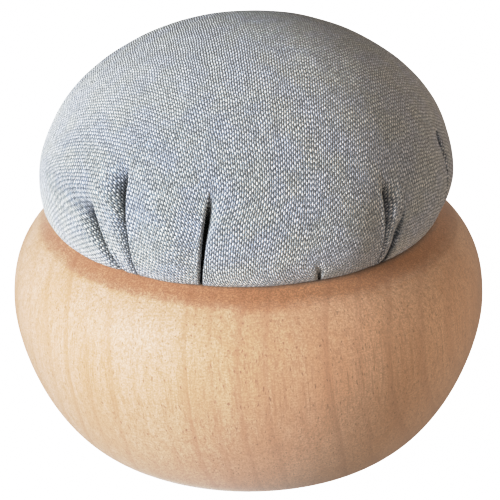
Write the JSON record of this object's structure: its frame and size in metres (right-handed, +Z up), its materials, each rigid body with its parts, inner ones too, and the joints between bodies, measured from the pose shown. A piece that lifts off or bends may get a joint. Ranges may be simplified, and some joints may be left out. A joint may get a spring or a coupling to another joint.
{
  "type": "pin cushion",
  "caption": "Pin cushion: a round stuffed cloth cushion gathered over a board, lifting out of a turned wooden bowl.",
  "frame": {"origin": "centre of the felt foot pad's underside, where the pin cushion rests on a table", "axes": "+Z up, along the axis of the turned bowl and the cushion; the pictured side faces -Y"},
  "size_m": [0.09, 0.09, 0.0831],
  "materials": {
    "bowl_wood": "matte",
    "foot_felt": "matte",
    "cover_cloth": "matte",
    "lining_cloth": "matte",
    "filling_fibre": "matte",
    "board": "matte",
    "thread": "matte",
    "underside_felt": "matte"
  },
  "bodies": {
    "bowl": {"wooden_bowl": "bowl_wood", "felt_foot_pad": "foot_felt"},
    "cushion": {"cushion_cover": "cover_cloth", "calico_lining": "lining_cloth", "fibre_filling": "filling_fibre", "backing_board": "board", "gathering_thread": "thread", "underside_disc": "underside_felt"}
  },
  "joints": [
    {"name": "cushion_lift", "type": "slide", "parent": "bowl", "child": "cushion", "axis": [0, 0, 1], "range_m": [0, 0.04]}
  ]
}
